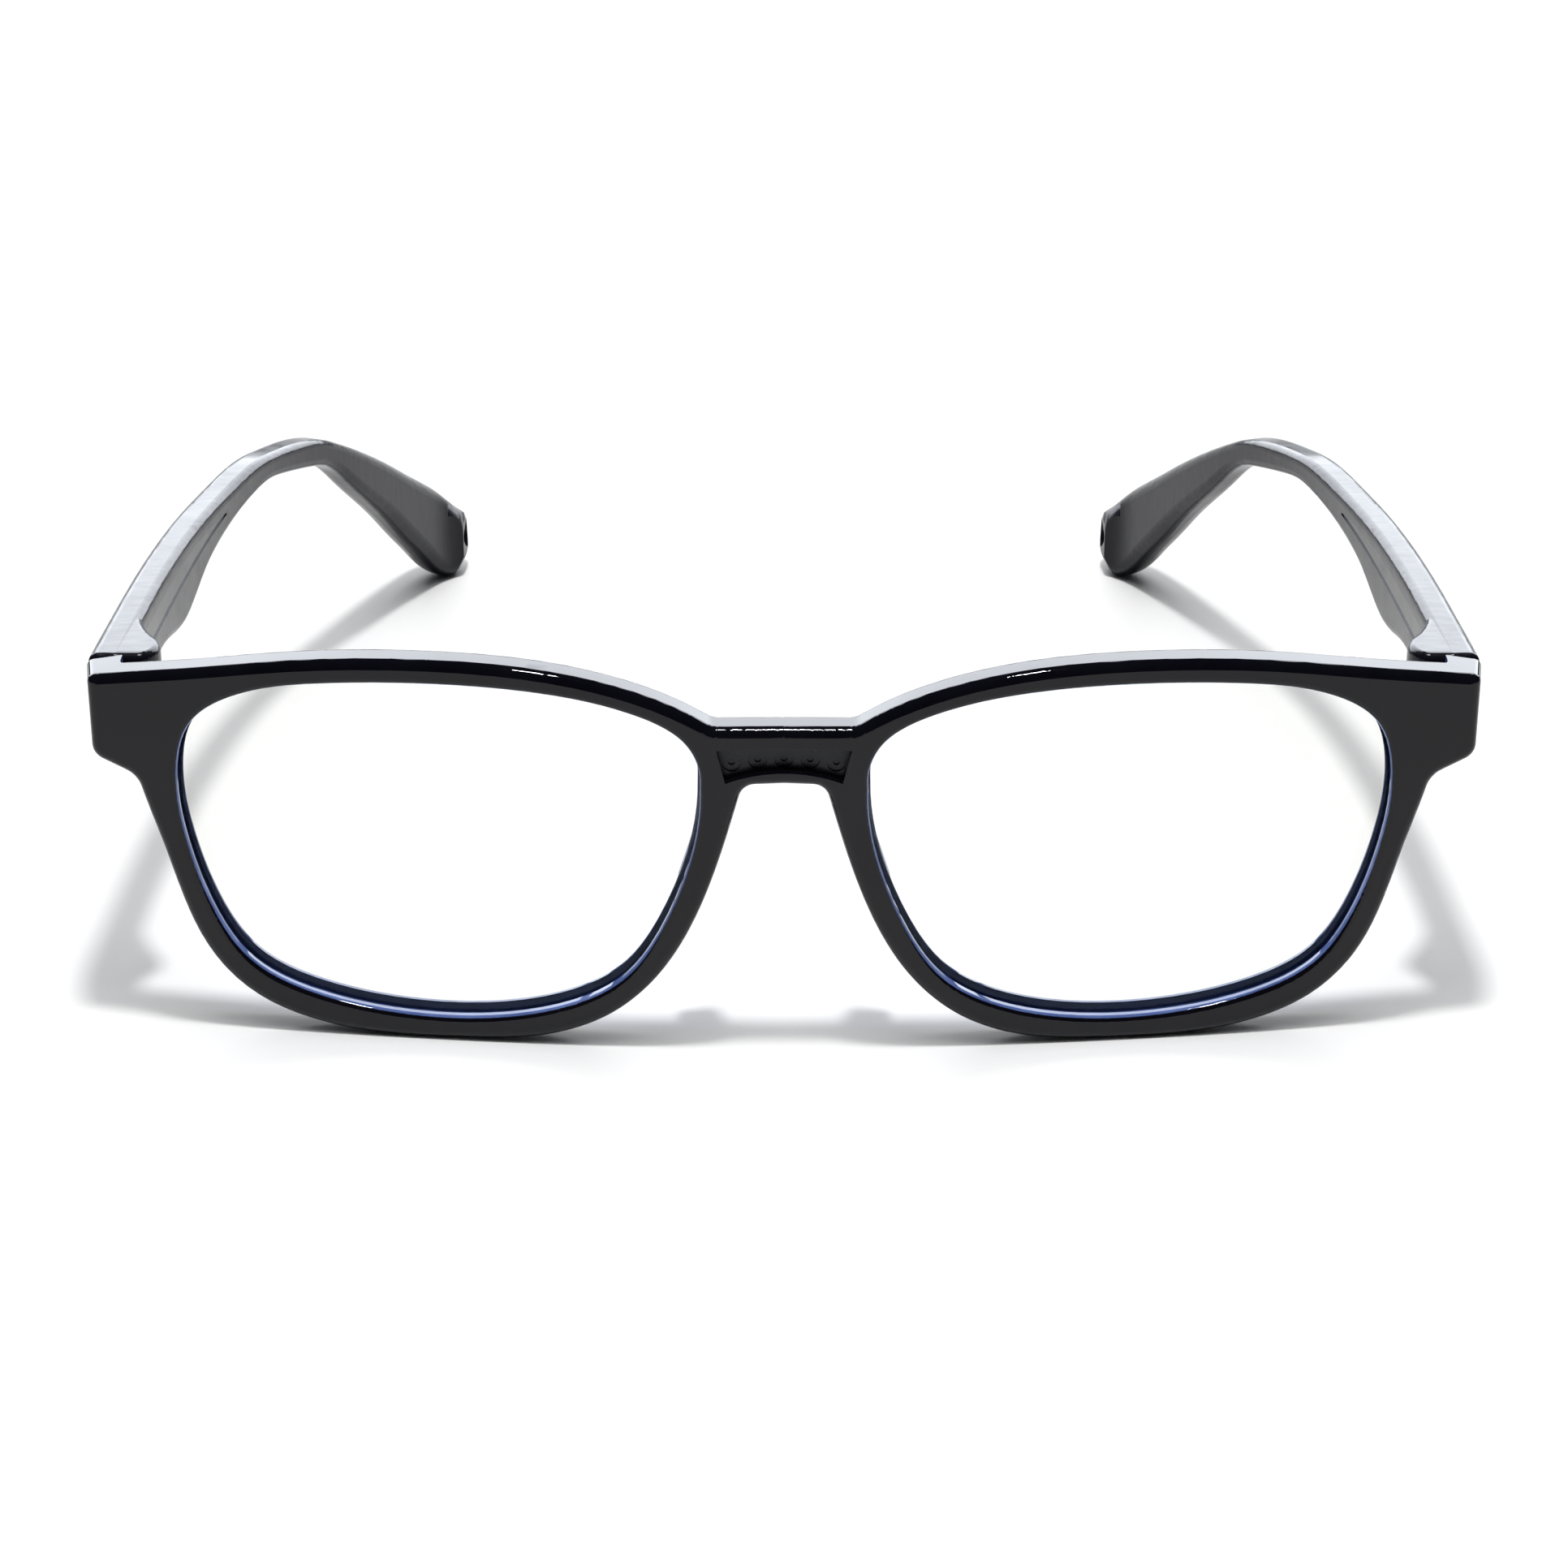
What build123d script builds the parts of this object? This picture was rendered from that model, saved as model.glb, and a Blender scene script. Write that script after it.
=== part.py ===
from build123d import *
import os

os.makedirs("parts", exist_ok=True)

# Blue light glasses, millimetres. +X is across the face, +Y runs from the front back to the temple
# tips, +Z is up. The glasses stand open on a table at z = 0. right_ and left_ are the wearer's sides.

origin_back = 59.1  # the origin is this far behind the front face: the middle of the whole depth

# Front
front_radius = 300.0  # both faces of the front are parts of spheres about one centre
curve_middle = 17.2  # height at which the front is furthest forward
front_thickness = 3.1
side_at_face = 61.3  # half width of the end pieces where they meet the front face
side_at_lobe = 62.25  # half width at the back of the end pieces
front_round = 0.85
back_round = 0.45
lip_round = 0.5
rear_lip_round = 0.3
front_lip = 1.0  # frame in front of the lens
lens_thickness = 1.5
lens_play = 0.025
groove_width = lens_thickness + 2 * lens_play
groove_depth = 0.75
rear_lip_step = 0.25  # the opening behind the lens is this much smaller all round

# Hinges: the axis is vertical
axis_x = 58.6
axis_y = 14.0
lobe_back = 11.3  # the temples stop against the back of the end pieces
lobe_inner = 58.9
temple_front = 11.6
slot_low = 28.1
slot_high = 31.8
tongue_gap = 0.08
tongue_radius = 2.2
tongue_width = 3.0
screw_radius = 0.7
running_gap = 0.04
head_radius = 1.25
head_height = 0.8
core_ear_radius = 1.85
core_low = 26.8
core_high = 33.05

# Temples
temple_half = 1.65  # half of the temple's thickness
temple_round = 0.9  # rounding along the straight part
tip_half = 2.1  # the same two at the tip
tip_round = 1.8
hinge_end_round = 0.5
tip_ball = 6.5  # the end of the tip is rounded off to a ball of this radius
ear_round = 0.6
sections = 36
blade_half = 0.6
panel_sunk = 0.15  # how far the core's panel lies below the inner face
strap_hole_radius = 1.2
strap_hole_depth = 3.8
strap_hole_height = 4.6
strap_hole_turn = 26.0  # degrees between the hole and the line across the face
funnel_radius = 1.75
funnel_depth = 0.55

# Bridge
recess_depth = 1.2
dimple_radius = 0.85
dimple_depth = 0.2
dimple_pitch = 2.3
pip_radius = 0.32


def save(builder):
    """Write one piece in the common frame."""
    placed = Pos(0, -origin_back, 0) * builder.part
    placed.label = builder.part.label
    export_step(placed, "parts/" + placed.label + ".step")


def ball(depth):
    """Solid ball whose near side lies this deep below the front face."""
    return Pos(0, front_radius, curve_middle) * Sphere(front_radius - depth, mode=Mode.PRIVATE)


def frontal(sketch, near=-5.0, far=30.0):
    """Prism along Y of a sketch drawn on the XZ plane."""
    return extrude(Pos(0, near, 0) * sketch, amount=-(far - near), mode=Mode.PRIVATE)


# Outline of one half of the front, seen from the front
with BuildSketch(Plane.XZ) as half_outline:
    with BuildLine():
        bridge_top = Line((0, 31.6), (6.3, 31.55))
        brow = Spline(
            bridge_top @ 1,
            (10.2, 33.6),
            (15.0, 35.25),
            (22.2, 36.6),
            (29.7, 37.05),
            (37.1, 36.9),
            (44.7, 36.2),
            (52.4, 35.05),
            (60.0, 34.0),
            (64.0, 33.35),
        )
        side = Line(brow @ 1, (64.0, 27.3))
        step = Line(side @ 1, (57.5, 24.5))
        rim = Spline(
            step @ 1,
            (55.5, 17.8),
            (53.8, 12.0),
            (51.6, 7.2),
            (48.2, 3.6),
            (43.4, 1.3),
            (37.0, 0.17),
            (28.8, 0.07),
            (20.8, 0.85),
            (15.4, 3.2),
            (10.7, 7.9),
            (6.9, 15.4),
            (5.3, 20.2),
            (3.6, 26.1),
            tangents=[(-0.25, -1), (-0.3, 1)],
        )
        Line(rim @ 1, (0, 26.25))
        Line((0, 26.25), (0, 31.6))
    make_face()
    for at_x, at_z, radius in (
        (6.3, 31.55, 1.6),
        (57.5, 24.5, 2.2),
        (3.6, 26.1, 1.5),
    ):
        fillet(half_outline.vertices().sort_by_distance((at_x, at_z))[0], radius)
    mirror(about=Plane.YZ)

# Edge of the left lens's opening, seen from the front
opening_edge = Spline(
    (7.35, 26.3),
    (8.75, 30.1),
    (13.2, 32.65),
    (21.5, 34.45),
    (31.0, 34.95),
    (40.5, 34.5),
    (48.2, 32.9),
    (52.4, 30.0),
    (53.85, 25.4),
    (53.2, 18.3),
    (51.3, 12.2),
    (47.9, 6.9),
    (42.2, 4.0),
    (35.0, 2.6),
    (27.0, 2.5),
    (20.2, 3.8),
    (14.6, 6.8),
    (11.0, 11.9),
    (8.5, 18.2),
    periodic=True,
)


def opening(wider=0.0):
    """Flat shape of the opening, made wider by the same amount all round."""
    points = []
    for i in range(64):
        at, way = opening_edge @ (i / 64), opening_edge % (i / 64)
        points.append((at.X - wider * way.Y, at.Y + wider * way.X))
    with BuildSketch(Plane.XZ) as result:
        with BuildLine():
            Spline(*points, periodic=True)
        make_face()
    return result.sketch


# Space kept for the two lobes behind the end pieces
with BuildPart() as lobes:
    with BuildSketch(Plane.XY):
        with BuildLine():
            Polyline(
                (lobe_inner, 4.0),
                (side_at_face + 0.15, 4.0),
                (side_at_lobe, lobe_back),
                (lobe_inner, lobe_back),
                close=True,
            )
        make_face()
    extrude(amount=40)
    mirror(about=Plane.YZ)

# Everything outside the flared sides of the end pieces
with BuildPart() as beside:
    with BuildSketch(Plane.XY):
        with BuildLine():
            Polyline(
                (side_at_face, 6.0),
                (side_at_lobe, lobe_back),
                (side_at_lobe, 20.0),
                (80, 20.0),
                (80, -5.0),
                (side_at_face - 1.8, -5.0),
                close=True,
            )
        make_face()
    extrude(amount=40)
    mirror(about=Plane.YZ)


def on_ball(edge, depth):
    """True for an edge that lies this deep below the front face all along."""
    centre = Vector(0, front_radius, curve_middle)
    radius = front_radius - depth
    return all(abs((edge @ t - centre).length - radius) < 0.02 for t in (0.2, 0.5, 0.8))


# Hard tongue moulded into the left end piece, with the hinge's eye
with BuildPart() as left_front_hinge:
    with BuildSketch(Plane.XY.offset(slot_low + tongue_gap)):
        with Locations((axis_x, axis_y)):
            Circle(tongue_radius)
        with Locations((axis_x, (axis_y + 8.0) / 2)):
            Rectangle(tongue_width, axis_y - 8.0)
        with Locations((axis_x, axis_y)):
            Circle(screw_radius + running_gap, mode=Mode.SUBTRACT)
    extrude(amount=slot_high - slot_low - 2 * tongue_gap)
    with Locations((58.95, 7.85, (slot_low + slot_high) / 2)):
        Box(3.9, 0.9, 5.4)
left_front_hinge.part.label = "left_front_hinge"

# Recess in the front of the bridge, seen from the front
with BuildSketch(Plane.XZ) as recess:
    with BuildLine():
        ThreePointArc((-5.95, 29.55), (0, 29.87), (5.95, 29.55))
        Line((5.95, 29.55), (5.15, 26.45))
        ThreePointArc((5.15, 26.45), (0, 27.45), (-5.15, 26.45))
        Line((-5.15, 26.45), (-5.95, 29.55))
    make_face()
dimples = [(i * dimple_pitch, 28.3 - 0.09 * i * i) for i in (-2, -1, 0, 1, 2)]

# One-piece front with lens grooves, bridge recess, lobes and moulded nose pads
with BuildPart() as front_frame:
    hollow = ball(front_thickness) - lobes.part
    blank = (frontal(half_outline.sketch) & ball(0)) - hollow - beside.part
    add(blank)
    for low, high, radius in ((30, 40, 0.8), (20, 30, 1.5)):
        fillet(
            [
                e
                for e in front_frame.edges()
                if abs((e @ 0.5).X) > side_at_face
                and abs((e % 0.5).Y) > 0.9
                and low < (e @ 0.5).Z < high
            ],
            radius,
        )
    fillet([e for e in front_frame.edges() if on_ball(e, 0)], front_round)
    lobe_rim = [e for e in front_frame.edges() if abs((e @ 0.5).Y - lobe_back) < 0.05]
    fillet(lobe_rim, back_round)
    outer_back = [e for e in front_frame.edges() if on_ball(e, front_thickness)]
    fillet(outer_back, back_round)
    outer_loop = [e @ 0.5 for e in front_frame.edges() if on_ball(e, front_thickness)]
    rear_hole = frontal(opening(-rear_lip_step))
    both_holes = rear_hole + (frontal(opening()) - ball(front_lip))
    add(both_holes, mode=Mode.SUBTRACT)
    add(mirror(both_holes, about=Plane.YZ), mode=Mode.SUBTRACT)
    fillet([e for e in front_frame.edges() if on_ball(e, 0) and e.length > 100], lip_round)
    rear_loops = [
        e
        for e in front_frame.edges()
        if on_ball(e, front_thickness)
        and all((e @ 0.5 - middle).length > 0.01 for middle in outer_loop)
    ]
    fillet(rear_loops, rear_lip_round)
    add(frontal(recess.sketch) - ball(recess_depth), mode=Mode.SUBTRACT)
    for at_x, at_z in dimples:
        with BuildSketch(Plane.XZ, mode=Mode.PRIVATE) as dimple:
            with Locations((at_x, at_z)):
                Circle(dimple_radius)
        with BuildSketch(Plane.XZ, mode=Mode.PRIVATE) as pip:
            with Locations((at_x, at_z)):
                Circle(pip_radius)
        add(frontal(dimple.sketch) - ball(recess_depth + dimple_depth), mode=Mode.SUBTRACT)
        add(frontal(pip.sketch) - ball(recess_depth + 2 * dimple_depth), mode=Mode.SUBTRACT)
    for side_sign in (-1, 1):
        with BuildPart(mode=Mode.PRIVATE) as pad:
            with BuildSketch(Plane.XZ.offset(-2.75)):
                with Locations(Location((side_sign * 7.05, 18.2), side_sign * 107.6)):
                    SlotOverall(10.4, 2.2)
            with BuildSketch(Plane.XZ.offset(-6.6)):
                with Locations(Location((side_sign * 7.7, 18.2), side_sign * 107.6)):
                    SlotOverall(8.6, 1.6)
            loft()
            fillet(pad.faces().sort_by(Axis.Y)[-1].edges(), 0.6)
        add(pad.part)
    groove = frontal(opening(groove_depth)) & ball(front_lip)
    groove = groove - ball(front_lip + groove_width)
    add(groove, mode=Mode.SUBTRACT)
    add(mirror(groove, about=Plane.YZ), mode=Mode.SUBTRACT)
    add(left_front_hinge.part, mode=Mode.SUBTRACT)
    add(mirror(left_front_hinge.part, about=Plane.YZ), mode=Mode.SUBTRACT)
front_frame.part.label = "front_frame"
save(front_frame)

with BuildPart() as right_front_hinge:
    add(mirror(left_front_hinge.part, about=Plane.YZ))
right_front_hinge.part.label = "right_front_hinge"
save(left_front_hinge)
save(right_front_hinge)

# Lenses, sprung into their grooves
with BuildPart() as left_lens:
    blank = frontal(opening(groove_depth - lens_play))
    add((blank & ball(front_lip + lens_play)) - ball(front_lip + lens_play + lens_thickness))
left_lens.part.label = "left_lens"
save(left_lens)

with BuildPart() as right_lens:
    add(mirror(left_lens.part, about=Plane.YZ))
right_lens.part.label = "right_lens"
save(right_lens)


# Middle of the left temple, seen from above
middle_line = Spline(
    (60.55, temple_front),
    (60.3, 20),
    (59.95, 30),
    (59.4, 40),
    (58.5, 50),
    (57.1, 60),
    (55.1, 70),
    (52.3, 80),
    (49.2, 89.2),
    (46.2, 98.4),
    (43.9, 105.4),
    (42.0, 110.6),
    (40.0, 114.3),
    (36.9, 116.0),
    tangents=[(-0.02, 1), (-1, -0.16)],
)

# Top and bottom of the temple: distance along the middle line, height
top_edge = (
    (0, 33.9),
    (20, 32.95),
    (38, 32.0),
    (48, 31.4),
    (58, 30.9),
    (65, 29.8),
    (71, 28.6),
    (75, 27.4),
    (78, 26.1),
    (84, 23.1),
    (91, 19.3),
    (98, 15.1),
    (104, 11.4),
    (107, 9.0),
    (110, 6.0),
)
bottom_edge = (
    (0, 26.0),
    (10, 26.6),
    (19, 26.5),
    (25, 25.4),
    (29, 24.9),
    (33, 25.4),
    (39, 26.7),
    (46, 27.5),
    (54, 27.9),
    (61, 27.8),
    (66, 26.8),
    (72, 25.3),
    (75, 24.4),
    (78, 22.9),
    (84, 18.1),
    (91, 12.6),
    (98, 6.4),
    (102, 2.9),
    (104, 1.0),
    (105.7, 0.05),
    (107.3, 0.3),
    (110, 2.0),
)


def smooth(points, place):
    """Height at a place on a smooth curve through points of place and height."""
    last = len(points) - 1
    k = max(i for i in range(last) if points[i][0] <= place + 0.001)

    def slope(i):
        before, after = points[max(i - 1, 0)], points[min(i + 1, last)]
        return (after[1] - before[1]) / (after[0] - before[0])

    width = points[k + 1][0] - points[k][0]
    t = (place - points[k][0]) / width
    rest = 1 - t
    start = points[k][1] * (1 + 2 * t) + slope(k) * width * t
    finish = points[k + 1][1] * (1 + 2 * rest) - slope(k + 1) * width * rest
    return start * rest * rest + finish * t * t


def swell(u):
    """0 along the straight part of the temple, 1 at its tip."""
    t = min(max((u - 0.68) / 0.23, 0.0), 1.0)
    return t * t * (3 - 2 * t)


def between(first, second, share):
    return first + (second - first) * share


def cross_section(u):
    """Rounded section of the temple, upright and square to its middle line."""
    at, way = middle_line @ u, middle_line % u
    low = smooth(bottom_edge, u * middle_line.length)
    high = smooth(top_edge, u * middle_line.length)
    half = between(temple_half, tip_half, swell(u))
    corner = between(temple_round, tip_round, swell(u))
    plane = Plane(
        origin=(at.X, at.Y, (low + high) / 2), x_dir=(way.Y, -way.X, 0), z_dir=(way.X, way.Y, 0)
    )
    with BuildSketch(plane) as section:
        RectangleRounded(2 * half, high - low, corner)
    return section.sketch


def strip(inner, outer, start, end):
    """Upright band along the temple, from inner towards the other temple to outer away from it."""
    inner_points, outer_points = [], []
    for i in range(17):
        u = start + (end - start) * i / 16
        at, way = middle_line @ u, middle_line % u
        across = Vector(way.Y, -way.X)
        inner_points.append(at - across * inner)
        outer_points.append(at + across * outer)
    with BuildSketch() as band:
        with BuildLine():
            one = Spline(*inner_points)
            two = Spline(*outer_points)
            Line(one @ 0, two @ 0)
            Line(one @ 1, two @ 1)
        make_face()
    return extrude(band.sketch, amount=40, mode=Mode.PRIVATE)


def is_at_hinge(edge):
    """True for the edges round the flat front end of the temple."""
    at, way = middle_line @ 0, middle_line % 0
    return all(abs((edge @ t - at).dot(way)) < 0.02 for t in (0, 0.5, 1))


def side_on(sketch):
    """Prism along X, over the left temple, of a sketch drawn on the YZ plane."""
    return extrude(Pos(20, 0, 0) * sketch, amount=50, mode=Mode.PRIVATE)


# The ear that carries the hinge bulges inwards about the hinge axis
with BuildPart() as ear:
    with BuildSketch(Plane.XY.offset(26.05)):
        with BuildLine():
            bulge = Spline(
                (57.5, temple_front),
                (56.6, 12.3),
                (56.1, 13.4),
                (56.1, 14.8),
                (56.6, 16.2),
                (57.4, 17.6),
                (58.1, 19.2),
                (58.75, 21.4),
            )
            Line(bulge @ 1, (60.4, 21.4))
            Line((60.4, 21.4), (60.4, temple_front))
            Line((60.4, temple_front), bulge @ 0)
        make_face()
    extrude(amount=7.8)
    fillet(ear.edges().filter_by(Axis.Z).sort_by_distance((57.5, temple_front, 30))[0], 1.0)
    with BuildSketch(Plane.YZ):
        with BuildLine():
            Polyline((0, 34.5), (25, 33.2), (25, 40), (0, 40), close=True)
        make_face()
    extrude(amount=80, mode=Mode.SUBTRACT)
    free_edges = [e for e in ear.edges() if (e @ 0.5).X < 60.3 and (e @ 0.5).Y < 21.3]
    fillet([e for e in free_edges if abs((e % 0.5).Z) < 0.5], ear_round)

# What is taken off the end of the tip to round it
tip = middle_line @ 1
with BuildPart() as off_tip:
    with Locations((tip.X + 1.8, tip.Y, 5)):
        Box(8, 14, 14, align=(Align.MAX, Align.CENTER, Align.CENTER))
    with Locations((tip.X + 6.2, tip.Y - 0.3, 4.4)):
        Sphere(tip_ball, mode=Mode.SUBTRACT)

# Outside of the left temple, before it is divided into core and sleeve
with BuildPart() as whole:
    for i in range(sections + 1):
        add(cross_section(i / sections))
    loft()
    fillet([e for e in whole.edges() if is_at_hinge(e)], hinge_end_round)
    add(off_tip.part, mode=Mode.SUBTRACT)
    add(ear.part)

# Strap hole in the tip, with a funnel at its mouth
out_of_hole = Vector(-1, 0, 0).rotate(Axis.Z, -strap_hole_turn)
mouth = Vector(tip.X, tip.Y, strap_hole_height)
with BuildPart() as strap_hole:
    with Locations(Plane(origin=mouth, z_dir=-out_of_hole)):
        Cylinder(strap_hole_radius, strap_hole_depth, align=(Align.CENTER, Align.CENTER, Align.MIN))
        Cone(
            funnel_radius,
            strap_hole_radius,
            funnel_depth,
            align=(Align.CENTER, Align.CENTER, Align.MIN),
        )
        Cylinder(funnel_radius, 2, align=(Align.CENTER, Align.CENTER, Align.MAX))

# Room that the tongue needs as the temple folds
with BuildSketch(Plane.XY.offset(slot_low)) as slot_plan:
    with Locations((axis_x, axis_y)):
        Circle(tongue_radius + 0.15)
    with BuildLine():
        Polyline(
            (axis_x + tongue_width / 2 + 0.12, axis_y - 8),
            (axis_x + tongue_width / 2 + 0.12, axis_y),
            (axis_x + tongue_width / 2 - 0.4, axis_y + tongue_width / 2 + 0.12),
            (axis_x - 8, axis_y + tongue_width / 2 + 0.12),
            (axis_x - 8, axis_y - 8),
            close=True,
        )
    make_face()
slot = extrude(slot_plan.sketch, amount=slot_high - slot_low)

# Side views of the core's blade and of its panel on the temple's inner face
with BuildSketch(Plane.YZ) as blade_side:
    with BuildLine():
        Spline((17.0, 32.6), (40.0, 31.3), (66.0, 29.9))
        Line((66.0, 29.9), (66.0, 29.1))
        Spline((66.0, 29.1), (52.0, 28.4), (41.5, 26.9), (30.0, 27.9), (17.0, 27.9))
        Line((17.0, 27.9), (17.0, 32.6))
    make_face()
with BuildSketch(Plane.YZ) as panel_side:
    with BuildLine():
        panel_top = Spline((21.0, 31.85), (40.0, 31.15), (49.0, 30.6), (57.5, 29.75))
        panel_foot = Spline((57.5, 29.55), (48.0, 29.25), (38.0, 29.15), (21.0, 29.5))
        Line(panel_top @ 1, panel_foot @ 0)
        Line(panel_foot @ 1, panel_top @ 0)
    make_face()
    fillet(panel_side.vertices().group_by(Axis.Y)[0], 0.7)
panel_prism = side_on(panel_side.sketch)
blade = strip(blade_half, blade_half, 0.04, 0.54) & side_on(blade_side.sketch)
panel = strip(temple_half - panel_sunk, 0, 0.05, 0.45) & panel_prism
opening_to_panel = strip(temple_half + 1.0, 0, 0.05, 0.45) & panel_prism

# Hard core: two hinge ears, the blade inside the temple and the panel that shows
with BuildPart() as left_temple_core:
    with BuildSketch(Plane.XY.offset(core_low)):
        with Locations((axis_x, axis_y)):
            Circle(core_ear_radius)
        with BuildLine():
            Polyline(
                (axis_x - 1.5, axis_y + 1.08),
                (59.5, 18.0),
                (61.2, 18.0),
                (61.35, axis_y - 0.8),
                (axis_x + 0.5, axis_y - 1.78),
                close=True,
            )
        make_face()
    extrude(amount=core_high - core_low)
    add(slot, mode=Mode.SUBTRACT)
    add(blade)
    add(panel)
    with Locations((axis_x, axis_y, core_low)):
        Cylinder(
            screw_radius + running_gap,
            slot_low - core_low,
            align=(Align.CENTER, Align.CENTER, Align.MIN),
            mode=Mode.SUBTRACT,
        )
    with Locations((axis_x, axis_y, slot_high)):
        Cylinder(
            screw_radius,
            core_high - slot_high,
            align=(Align.CENTER, Align.CENTER, Align.MIN),
            mode=Mode.SUBTRACT,
        )
left_temple_core.part.label = "left_temple_core"

# Steel screw, put in from below, with a straight slot in its head
with BuildPart() as left_hinge_screw:
    with Locations((axis_x, axis_y, core_low)):
        Cylinder(head_radius, head_height, align=(Align.CENTER, Align.CENTER, Align.MAX))
    fillet(left_hinge_screw.edges().sort_by(Axis.Z)[0], 0.25)
    with Locations((axis_x, axis_y, core_low - head_height)):
        Box(3, 0.4, 0.6, mode=Mode.SUBTRACT)
    with Locations((axis_x, axis_y, core_low)):
        Cylinder(
            screw_radius,
            core_high - core_low - 0.1,
            align=(Align.CENTER, Align.CENTER, Align.MIN),
        )
left_hinge_screw.part.label = "left_hinge_screw"
save(left_hinge_screw)

# Soft sleeve moulded over the core, from the hinge to the tip
with BuildPart() as left_temple_sleeve:
    add(whole.part)
    add(slot, mode=Mode.SUBTRACT)
    add(left_temple_core.part, mode=Mode.SUBTRACT)
    add(opening_to_panel, mode=Mode.SUBTRACT)
    with Locations((axis_x, axis_y, core_low)):
        Cylinder(
            head_radius + 0.1,
            3,
            align=(Align.CENTER, Align.CENTER, Align.MAX),
            mode=Mode.SUBTRACT,
        )
    with Locations((axis_x, axis_y, core_low)):
        Cylinder(
            screw_radius + running_gap,
            core_high - core_low,
            align=(Align.CENTER, Align.CENTER, Align.MIN),
            mode=Mode.SUBTRACT,
        )
    add(strap_hole.part, mode=Mode.SUBTRACT)
left_temple_sleeve.part.label = "left_temple_sleeve"
save(left_temple_core)
save(left_temple_sleeve)

for label, left_part in (
    ("right_temple_core", left_temple_core),
    ("right_hinge_screw", left_hinge_screw),
    ("right_temple_sleeve", left_temple_sleeve),
):
    with BuildPart() as right_part:
        add(mirror(left_part.part, about=Plane.YZ))
    right_part.part.label = label
    save(right_part)
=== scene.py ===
import math

import bpy
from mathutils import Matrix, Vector


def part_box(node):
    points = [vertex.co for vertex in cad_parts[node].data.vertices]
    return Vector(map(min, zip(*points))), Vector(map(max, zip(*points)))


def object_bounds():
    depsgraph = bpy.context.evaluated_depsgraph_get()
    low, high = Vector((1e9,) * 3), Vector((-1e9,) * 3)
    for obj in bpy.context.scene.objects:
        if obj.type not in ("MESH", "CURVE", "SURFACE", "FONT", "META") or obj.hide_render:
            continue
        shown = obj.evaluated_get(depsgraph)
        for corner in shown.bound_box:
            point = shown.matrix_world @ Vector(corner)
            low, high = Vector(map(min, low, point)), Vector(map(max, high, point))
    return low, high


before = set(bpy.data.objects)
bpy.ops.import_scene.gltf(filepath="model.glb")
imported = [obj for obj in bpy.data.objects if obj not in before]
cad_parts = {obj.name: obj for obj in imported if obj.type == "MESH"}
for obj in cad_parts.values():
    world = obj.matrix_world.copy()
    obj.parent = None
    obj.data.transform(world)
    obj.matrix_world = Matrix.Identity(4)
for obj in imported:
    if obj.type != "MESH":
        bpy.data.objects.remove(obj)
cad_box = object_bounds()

MM = 0.001

# ---------------------------------------------------------------- the room, in metres, degrees and watts

FLOOR_SIZE = 6.0
CAMERA_PITCH = 25.0
CAMERA_DISTANCE = 0.4078
CAMERA_LENS = 90.7
CAMERA_REACH = 0.05684  # the camera aims at the table this far behind the front face
KEY_HEIGHT = 0.63
KEY_FORWARD = 0.04
DARKNESS = 0.03


def tree_node(tree, kind, inputs=None, **settings):
    """Adds a shader node, sets its options and then the values of its inputs."""
    made = tree.nodes.new(kind)
    for key, value in settings.items():
        setattr(made, key, value)
    for key, value in (inputs or {}).items():
        made.inputs[key].default_value = value
    return made


def material(name):
    """An empty node material with its output node."""
    made = bpy.data.materials.new(name)
    made.use_nodes = True
    made.node_tree.nodes.clear()
    output = made.node_tree.nodes.new("ShaderNodeOutputMaterial")
    return made, made.node_tree, output


def add_camera():
    """Looks down from in front at a point on the table between the temples."""
    low, high = cad_box
    aim = Vector(((low[0] + high[0]) / 2, low[1] + CAMERA_REACH, low[2]))
    pitch = math.radians(CAMERA_PITCH)
    data = bpy.data.cameras.new("camera")
    data.sensor_width = 36.0
    data.lens = CAMERA_LENS
    data.clip_start = 0.01
    camera = bpy.data.objects.new("camera", data)
    camera.location = aim + CAMERA_DISTANCE * Vector((0, -math.cos(pitch), math.sin(pitch)))
    camera.rotation_euler = (math.pi / 2 - pitch, 0, 0)
    bpy.context.scene.collection.objects.link(camera)
    bpy.context.scene.camera = camera


def add_area(name, place, aim, size, power, shape="RECTANGLE"):
    """A soft box. size is its width and height."""
    data = bpy.data.lights.new(name, "AREA")
    data.shape = shape
    data.size, data.size_y = size
    data.energy = power
    light = bpy.data.objects.new(name, data)
    light.location = place
    light.rotation_euler = (Vector(aim) - Vector(place)).to_track_quat("-Z", "Y").to_euler()
    bpy.context.scene.collection.objects.link(light)
    return light


def add_lights():
    """A small hard light and soft boxes overhead, and a white card that only reflections see."""
    front_y = cad_box[0][1]
    middle_y = (cad_box[0][1] + cad_box[1][1]) / 2
    above_front = (0, front_y - KEY_FORWARD, KEY_HEIGHT)
    under_key = (0, front_y - KEY_FORWARD, 0)
    add_area("key", above_front, under_key, (0.06, 0.06), 2.05, "ELLIPSE")
    soft = (
        add_area("soft_key", above_front, under_key, (0.3, 0.3), 1.05),
        add_area("fill", (0, middle_y, 1.3), (0, middle_y, 0), (1.6, 1.6), 7.0),
        add_area("backdrop", (0, 0.8, 0.6), (0, 0.5, 0), (1.0, 0.3), 3.2),
    )
    for light in soft:
        light.visible_glossy = False
    card = add_area("back_card", (0, 1.1, 0.56), (0, 0, 0.03), (2.6, 0.9), 46.0)
    card.visible_diffuse = False
    card.data.color = (0.9, 0.94, 1.0)


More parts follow.
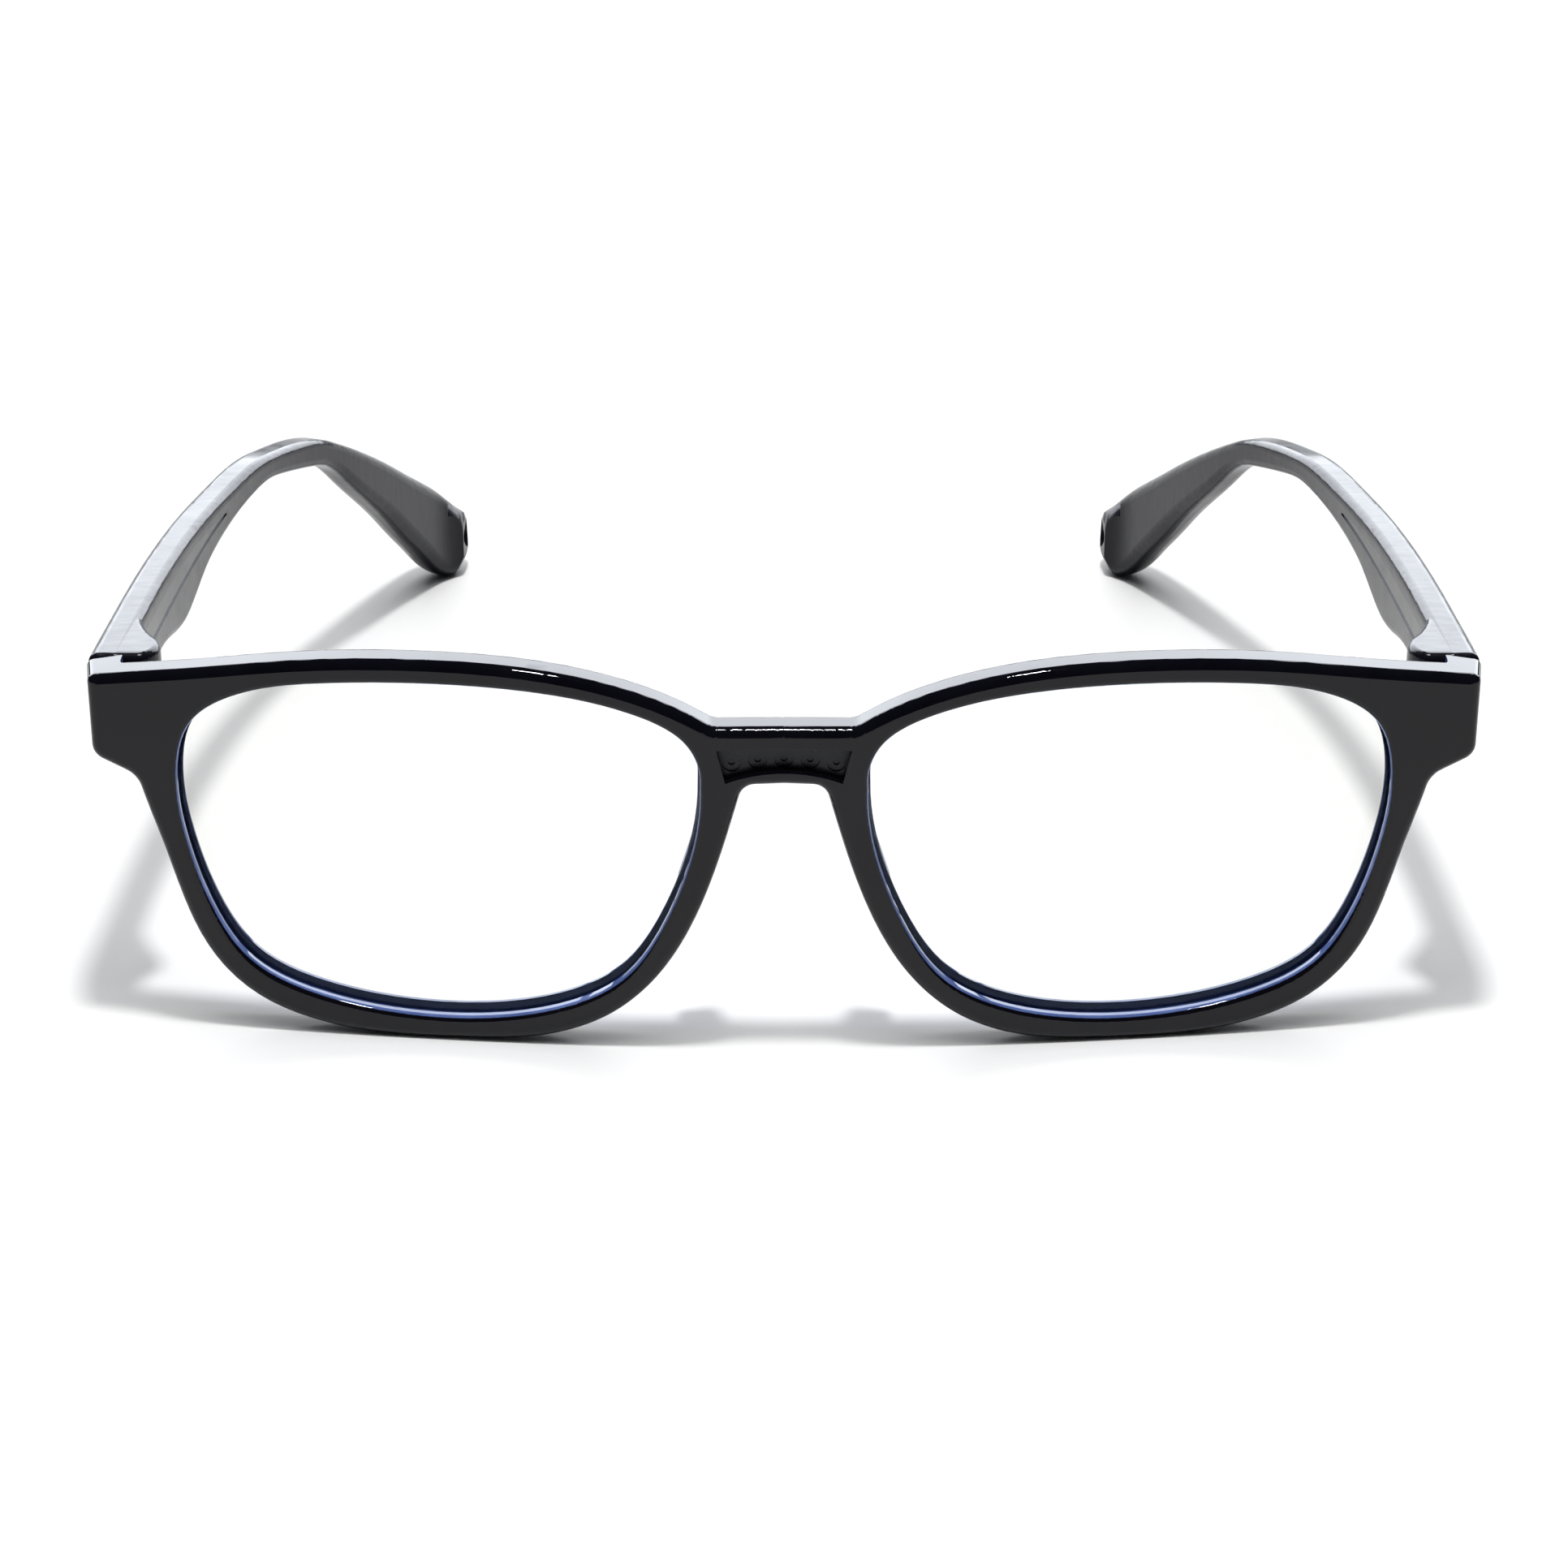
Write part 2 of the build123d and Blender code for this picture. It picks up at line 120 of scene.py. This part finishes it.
def add_floor():
    """White table top."""
    mesh = bpy.data.meshes.new("floor")
    half = FLOOR_SIZE / 2
    corners = [(-half, -half, 0), (half, -half, 0), (half, half, 0), (-half, half, 0)]
    mesh.from_pydata(corners, [], [(0, 1, 2, 3)])
    floor = bpy.data.objects.new("floor", mesh)
    floor.location.z = cad_box[0][2] - 0.02 * MM
    bpy.context.scene.collection.objects.link(floor)
    made, tree, output = material("floor_white")
    shader = tree_node(
        tree,
        "ShaderNodeBsdfPrincipled",
        {"Base Color": (0.93, 0.93, 0.93, 1), "Roughness": 0.7, "Specular IOR Level": 0.1},
    )
    tree.links.new(shader.outputs[0], output.inputs[0])
    mesh.materials.append(made)


def add_world():
    """Dark studio."""
    world = bpy.data.worlds.new("studio")
    bpy.context.scene.world = world
    world.use_nodes = True
    tree = world.node_tree
    tree.nodes.clear()
    background = tree_node(
        tree, "ShaderNodeBackground", {"Color": (0.96, 0.98, 1.0, 1), "Strength": DARKNESS}
    )
    output = tree_node(tree, "ShaderNodeOutputWorld")
    tree.links.new(background.outputs[0], output.inputs[0])


add_camera()
add_floor()
add_world()
add_lights()

bpy.context.scene.view_settings.view_transform = "Standard"
bpy.context.scene.view_settings.look = "None"

# ---------------------------------------------------------------- the materials

# Painted reflection: these blues are laid on the black walls of the lens openings in place of the lens
# coating's reflection.
DEEP_BLUE_PAINTED_REFLECTION = (0.05, 0.09, 0.26)
PALE_BLUE_PAINTED_REFLECTION = (0.14, 0.2, 0.46)
RECESS_GREY = (0.013, 0.014, 0.021)
# The recess in the front of the bridge, as the middle and half length along each axis.
RECESS = {"X": (0.0, 0.0078), "Y": (cad_box[0][1] + 0.0014, 0.0009), "Z": (0.0283, 0.0024)}
lens_low, lens_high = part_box("left_lens")
LENS_X = (lens_low[0] + lens_high[0]) / 2
LENS_Z = (lens_low[2] + lens_high[2]) / 2


def maths(tree, operation, first, second, clamp=False):
    """A math node. first and second are sockets or plain numbers."""
    made = tree_node(tree, "ShaderNodeMath", operation=operation, use_clamp=clamp)
    for index, value in enumerate((first, second)):
        if isinstance(value, (int, float)):
            made.inputs[index].default_value = value
        else:
            tree.links.new(value, made.inputs[index])
    return made.outputs[0]


def surface_noise(tree, scale, detail=4.0, stretch=(1, 1, 1)):
    """Noise fixed to the piece. scale is in cells per metre."""
    place = tree_node(tree, "ShaderNodeTexCoord")
    mapping = tree_node(tree, "ShaderNodeMapping", {"Scale": stretch})
    noise = tree_node(tree, "ShaderNodeTexNoise", {"Scale": scale, "Detail": detail})
    tree.links.new(place.outputs["Object"], mapping.inputs["Vector"])
    tree.links.new(mapping.outputs[0], noise.inputs["Vector"])
    return noise.outputs["Fac"]


def spread(tree, value, low, high, start=0.3, end=0.7):
    """Maps noise to a range of values."""
    made = tree_node(
        tree,
        "ShaderNodeMapRange",
        {"From Min": start, "From Max": end, "To Min": low, "To Max": high},
    )
    tree.links.new(value, made.inputs["Value"])
    return made.outputs[0]


def two_colours(tree, value, first, second):
    """Mixes two colours by a value between 0 and 1."""
    made = tree_node(tree, "ShaderNodeMix", data_type="RGBA")
    made.inputs["A"].default_value = (*first, 1)
    made.inputs["B"].default_value = (*second, 1)
    tree.links.new(value, made.inputs["Factor"])
    return made.outputs["Result"]


def worn_edge(tree, strength):
    """1 on sharp outer edges, 0 elsewhere, broken up by noise."""
    geometry = tree_node(tree, "ShaderNodeNewGeometry")
    edge = spread(tree, geometry.outputs["Pointiness"], 0.0, strength, 0.53, 0.62)
    broken = spread(tree, surface_noise(tree, 1400, 3), 0.2, 1.0)
    return maths(tree, "MULTIPLY", edge, broken, clamp=True)


def black_plastic(
    name, dark, light, ior, rough, ripple, ripple_scale, grain, stretch=(1, 1, 1), front=False
):
    """Moulded black plastic: clouded colour, uneven gloss, soft ripples and fine grain.

    ripple and grain are depths in mm. The front has a painted blue reflection of the lens coating on the
    walls of the lens openings, and a satin recess.
    """
    made, tree, output = material(name)
    shader = tree_node(tree, "ShaderNodeBsdfPrincipled", {"IOR": ior})
    clouds = spread(tree, surface_noise(tree, 160), 0.0, 1.0)
    colour = two_colours(tree, clouds, dark, light)
    if front:
        # Painted reflection: the walls of the lens openings are coloured blue to stand for the lens
        # coating's reflection on them.
        reflection_painted = tree_node(tree, "ShaderNodeMix", data_type="RGBA")
        tree.links.new(painted_reflection_walls(tree), reflection_painted.inputs["Factor"])
        tree.links.new(colour, reflection_painted.inputs["A"])
        tree.links.new(two_colours(tree, clouds, DEEP_BLUE_PAINTED_REFLECTION, PALE_BLUE_PAINTED_REFLECTION), reflection_painted.inputs["B"])
        greyed = tree_node(tree, "ShaderNodeMix", data_type="RGBA")
        tree.links.new(inside_recess(tree), greyed.inputs["Factor"])
        tree.links.new(reflection_painted.outputs["Result"], greyed.inputs["A"])
        greyed.inputs["B"].default_value = (*RECESS_GREY, 1)
        colour = greyed.outputs["Result"]
    tree.links.new(colour, shader.inputs["Base Color"])
    uneven = spread(tree, surface_noise(tree, 420, 6), rough[0], rough[1])
    roughness = maths(tree, "ADD", uneven, worn_edge(tree, 0.12), clamp=True)
    if front:
        satin = maths(tree, "MULTIPLY", inside_recess(tree), 0.24)
        roughness = maths(tree, "ADD", roughness, satin, clamp=True)
    tree.links.new(roughness, shader.inputs["Roughness"])
    soft = tree_node(tree, "ShaderNodeBump", {"Strength": 1.0, "Distance": ripple * MM})
    tree.links.new(surface_noise(tree, ripple_scale, 1.5, stretch), soft.inputs["Height"])
    fine = tree_node(tree, "ShaderNodeBump", {"Strength": 1.0, "Distance": grain * MM})
    tree.links.new(surface_noise(tree, 5200, 2), fine.inputs["Height"])
    tree.links.new(soft.outputs[0], fine.inputs["Normal"])
    tree.links.new(fine.outputs[0], shader.inputs["Normal"])
    tree.links.new(shader.outputs[0], output.inputs[0])
    return made


def painted_reflection_walls(tree):
    """1 on the walls of the lens openings, which face the middle of their lens, 0 elsewhere: where the
    blue reflection of the lens coating is painted.
    """
    place = tree_node(tree, "ShaderNodeTexCoord")
    split = tree_node(tree, "ShaderNodeSeparateXYZ")
    tree.links.new(place.outputs["Object"], split.inputs[0])
    side = tree_node(tree, "ShaderNodeMath", operation="ABSOLUTE")
    tree.links.new(split.outputs["X"], side.inputs[0])
    facing = tree_node(tree, "ShaderNodeSeparateXYZ")
    tree.links.new(place.outputs["Normal"], facing.inputs[0])
    sign = tree_node(tree, "ShaderNodeMath", operation="SIGN")
    tree.links.new(split.outputs["X"], sign.inputs[0])
    across = maths(tree, "MULTIPLY", facing.outputs["X"], sign.outputs[0])
    over = maths(tree, "SUBTRACT", LENS_X, side.outputs[0])
    up = maths(tree, "SUBTRACT", LENS_Z, split.outputs["Z"])
    towards = tree_node(tree, "ShaderNodeCombineXYZ")
    tree.links.new(over, towards.inputs["X"])
    tree.links.new(up, towards.inputs["Z"])
    unit = tree_node(tree, "ShaderNodeVectorMath", operation="NORMALIZE")
    tree.links.new(towards.outputs[0], unit.inputs[0])
    flat = tree_node(tree, "ShaderNodeCombineXYZ")
    tree.links.new(across, flat.inputs["X"])
    tree.links.new(facing.outputs["Z"], flat.inputs["Z"])
    agree = tree_node(tree, "ShaderNodeVectorMath", operation="DOT_PRODUCT")
    tree.links.new(unit.outputs[0], agree.inputs[0])
    tree.links.new(flat.outputs[0], agree.inputs[1])
    return spread(tree, agree.outputs["Value"], 0.0, 1.0, 0.72, 0.82)


def inside_recess(tree):
    """1 in the recess of the bridge, 0 elsewhere."""
    place = tree_node(tree, "ShaderNodeTexCoord")
    split = tree_node(tree, "ShaderNodeSeparateXYZ")
    tree.links.new(place.outputs["Object"], split.inputs[0])
    within = []
    for axis, (middle, reach) in RECESS.items():
        near = tree_node(tree, "ShaderNodeMath", {1: middle, 2: reach}, operation="COMPARE")
        tree.links.new(split.outputs[axis], near.inputs[0])
        within.append(near.outputs[0])
    return maths(tree, "MULTIPLY", maths(tree, "MULTIPLY", within[0], within[1]), within[2])


def lens_glass():
    """Clear lens with a faint warm body and a blue reflecting coating."""
    made, tree, output = material("coated_lens")
    clear = tree_node(tree, "ShaderNodeBsdfTransparent")
    warmth = spread(tree, surface_noise(tree, 60, 2), 0.0, 1.0)
    body = two_colours(tree, warmth, (0.985, 0.985, 0.962), (0.99, 0.988, 0.968))
    tree.links.new(body, clear.inputs["Color"])
    mirror = tree_node(tree, "ShaderNodeBsdfGlossy")
    blue = two_colours(tree, warmth, (0.46, 0.6, 1.0), (0.5, 0.64, 1.0))
    tree.links.new(blue, mirror.inputs["Color"])
    smear = spread(tree, surface_noise(tree, 300, 5), 0.01, 0.03)
    tree.links.new(smear, mirror.inputs["Roughness"])
    edge_on = tree_node(tree, "ShaderNodeLayerWeight", {"Blend": 0.5})
    grazing = tree_node(tree, "ShaderNodeMath", {1: 5.0}, operation="POWER")
    tree.links.new(edge_on.outputs["Facing"], grazing.inputs[0])
    share = tree_node(tree, "ShaderNodeMath", {1: 0.8, 2: 0.03}, operation="MULTIPLY_ADD")
    tree.links.new(grazing.outputs[0], share.inputs[0])
    mix = tree_node(tree, "ShaderNodeMixShader")
    tree.links.new(share.outputs[0], mix.inputs[0])
    tree.links.new(clear.outputs[0], mix.inputs[1])
    tree.links.new(mirror.outputs[0], mix.inputs[2])
    tree.links.new(mix.outputs[0], output.inputs[0])
    return made


def turned_steel():
    """Bright screw steel with turning rings."""
    made, tree, output = material("screw_steel")
    shader = tree_node(tree, "ShaderNodeBsdfPrincipled", {"Metallic": 1.0})
    tone = spread(tree, surface_noise(tree, 2500, 4), 0.0, 1.0)
    steel = two_colours(tree, tone, (0.5, 0.5, 0.52), (0.62, 0.62, 0.63))
    tree.links.new(steel, shader.inputs["Base Color"])
    rough = spread(tree, surface_noise(tree, 4000, 4, (1, 1, 6)), 0.18, 0.38)
    tree.links.new(rough, shader.inputs["Roughness"])
    bump = tree_node(tree, "ShaderNodeBump", {"Strength": 1.0, "Distance": 0.003 * MM})
    tree.links.new(surface_noise(tree, 5000, 2, (1, 1, 8)), bump.inputs["Height"])
    tree.links.new(bump.outputs[0], shader.inputs["Normal"])
    tree.links.new(shader.outputs[0], output.inputs[0])
    return made


def paint(node, made):
    """Gives a CAD node one material."""
    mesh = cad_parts[node].data
    mesh.materials.clear()
    mesh.materials.append(made)


front_black = black_plastic(
    "front_black", (0.0018, 0.0018, 0.0042), (0.0036, 0.0036, 0.0068), 1.375, (0.025, 0.05), 0.004, 160,
    0.0002, front=True,
)
temple_black = black_plastic(
    "temple_black", (0.0045, 0.0046, 0.0085), (0.0075, 0.0077, 0.0125), 1.31, (0.16, 0.24), 0.016, 420,
    0.0004, (1, 2.2, 1),
)
core_black = black_plastic(
    "core_black", (0.0045, 0.0046, 0.0085), (0.0075, 0.0077, 0.0125), 1.4, (0.14, 0.2), 0.006, 300, 0.0004
)
hinge_black = black_plastic(
    "hinge_black", (0.008, 0.008, 0.0095), (0.014, 0.014, 0.0155), 1.45, (0.3, 0.42), 0.003, 500, 0.002
)
coated_lens = lens_glass()
screw_steel = turned_steel()

paint("front_frame", front_black)
for side in ("left", "right"):
    paint(side + "_lens", coated_lens)
    paint(side + "_front_hinge", hinge_black)
    paint(side + "_hinge_screw", screw_steel)
    paint(side + "_temple_core", core_black)
    paint(side + "_temple_sleeve", temple_black)
